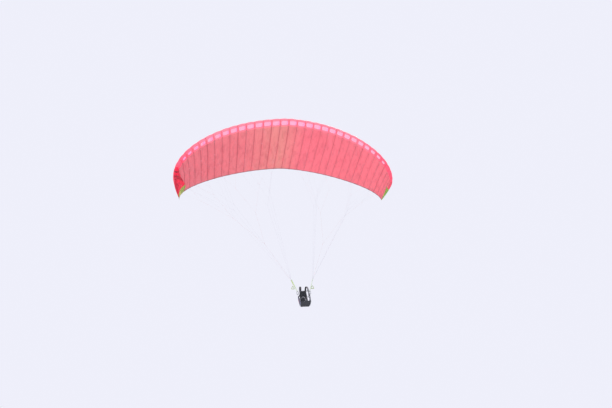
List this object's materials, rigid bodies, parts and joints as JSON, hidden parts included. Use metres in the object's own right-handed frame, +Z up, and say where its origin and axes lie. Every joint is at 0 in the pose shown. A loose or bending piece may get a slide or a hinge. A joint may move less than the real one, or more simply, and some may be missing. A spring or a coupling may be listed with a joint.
{
  "type": "parachute",
  "caption": "Solo paraglider: a curved ram-air canopy of open cells on fanned lines, with webbing risers, pull-down brake toggles and a light seat harness that swings.",
  "frame": {"origin": "on the canopy's lower surface at its centre, straight above the carabiners the harness hangs on", "axes": "+X along the span towards the wing's own left, -Y the way it flies, +Z up"},
  "size_m": [9.525, 3.4784, 8.3212],
  "materials": {
    "canopy": "thin coated ripstop fabric, salmon pink",
    "tip": "thin coated ripstop fabric, crimson",
    "line": "sheathed cord, light grey",
    "brake_line": "sheathed cord, red",
    "riser": "woven webbing, yellow-green",
    "toggle": "padded webbing, yellow-green",
    "pad": "padded woven fabric, near black",
    "hip": "woven fabric, slate blue",
    "web": "woven webbing, black",
    "steel": "brushed stainless steel",
    "alloy": "anodised dark grey",
    "buckle": "satin aluminium",
    "pulley": "matt black"
  },
  "bodies": {
    "wing": {"cells_centre": "canopy", "cells_left_1": "canopy", "cells_left_2": "canopy", "cells_left_3": "canopy", "cells_right_1": "canopy", "cells_right_2": "canopy", "cells_right_3": "canopy", "tip_left": "tip", "tip_right": "tip", "link_a_left": "steel", "lines_a_left": "line", "link_b_left": "steel", "lines_b_left": "line", "link_c_left": "steel", "lines_c_left": "line", "risers_left": "riser", "pulley_left": "pulley", "brake_lines_left": "brake_line", "brake_cord_left": "brake_line", "carabiner_left": "alloy", "link_a_right": "steel", "lines_a_right": "line", "link_b_right": "steel", "lines_b_right": "line", "link_c_right": "steel", "lines_c_right": "line", "risers_right": "riser", "pulley_right": "pulley", "brake_lines_right": "brake_line", "brake_cord_right": "brake_line", "carabiner_right": "alloy"},
    "harness": {"harness_seat": "pad", "harness_back": "pad", "chest_strap": "web", "chest_buckle": "buckle", "shoulder_strap_left": "pad", "leg_strap_left": "web", "leg_buckle_left": "buckle", "hip_left": "hip", "main_web_left": "web", "shoulder_strap_right": "pad", "leg_strap_right": "web", "leg_buckle_right": "buckle", "hip_right": "hip", "main_web_right": "web"},
    "toggle_left": {"toggle_left": "toggle"},
    "toggle_right": {"toggle_right": "toggle"}
  },
  "joints": [
    {"name": "harness_swing", "type": "hinge", "parent": "wing", "child": "harness", "pos_m": [0, 0, -7.3], "axis": [1, 0, 0], "range_deg": [-45, 45]},
    {"name": "brake_left", "type": "slide", "parent": "wing", "child": "toggle_left", "axis": [0, 0, -1], "range_m": [0, 0.6], "stiffness_N_per_m": 40, "springref_m": -0.05, "deforming": ["brake_cord_left"]},
    {"name": "brake_right", "type": "slide", "parent": "wing", "child": "toggle_right", "axis": [0, 0, -1], "range_m": [0, 0.6], "stiffness_N_per_m": 40, "springref_m": -0.05, "deforming": ["brake_cord_right"]}
  ]
}
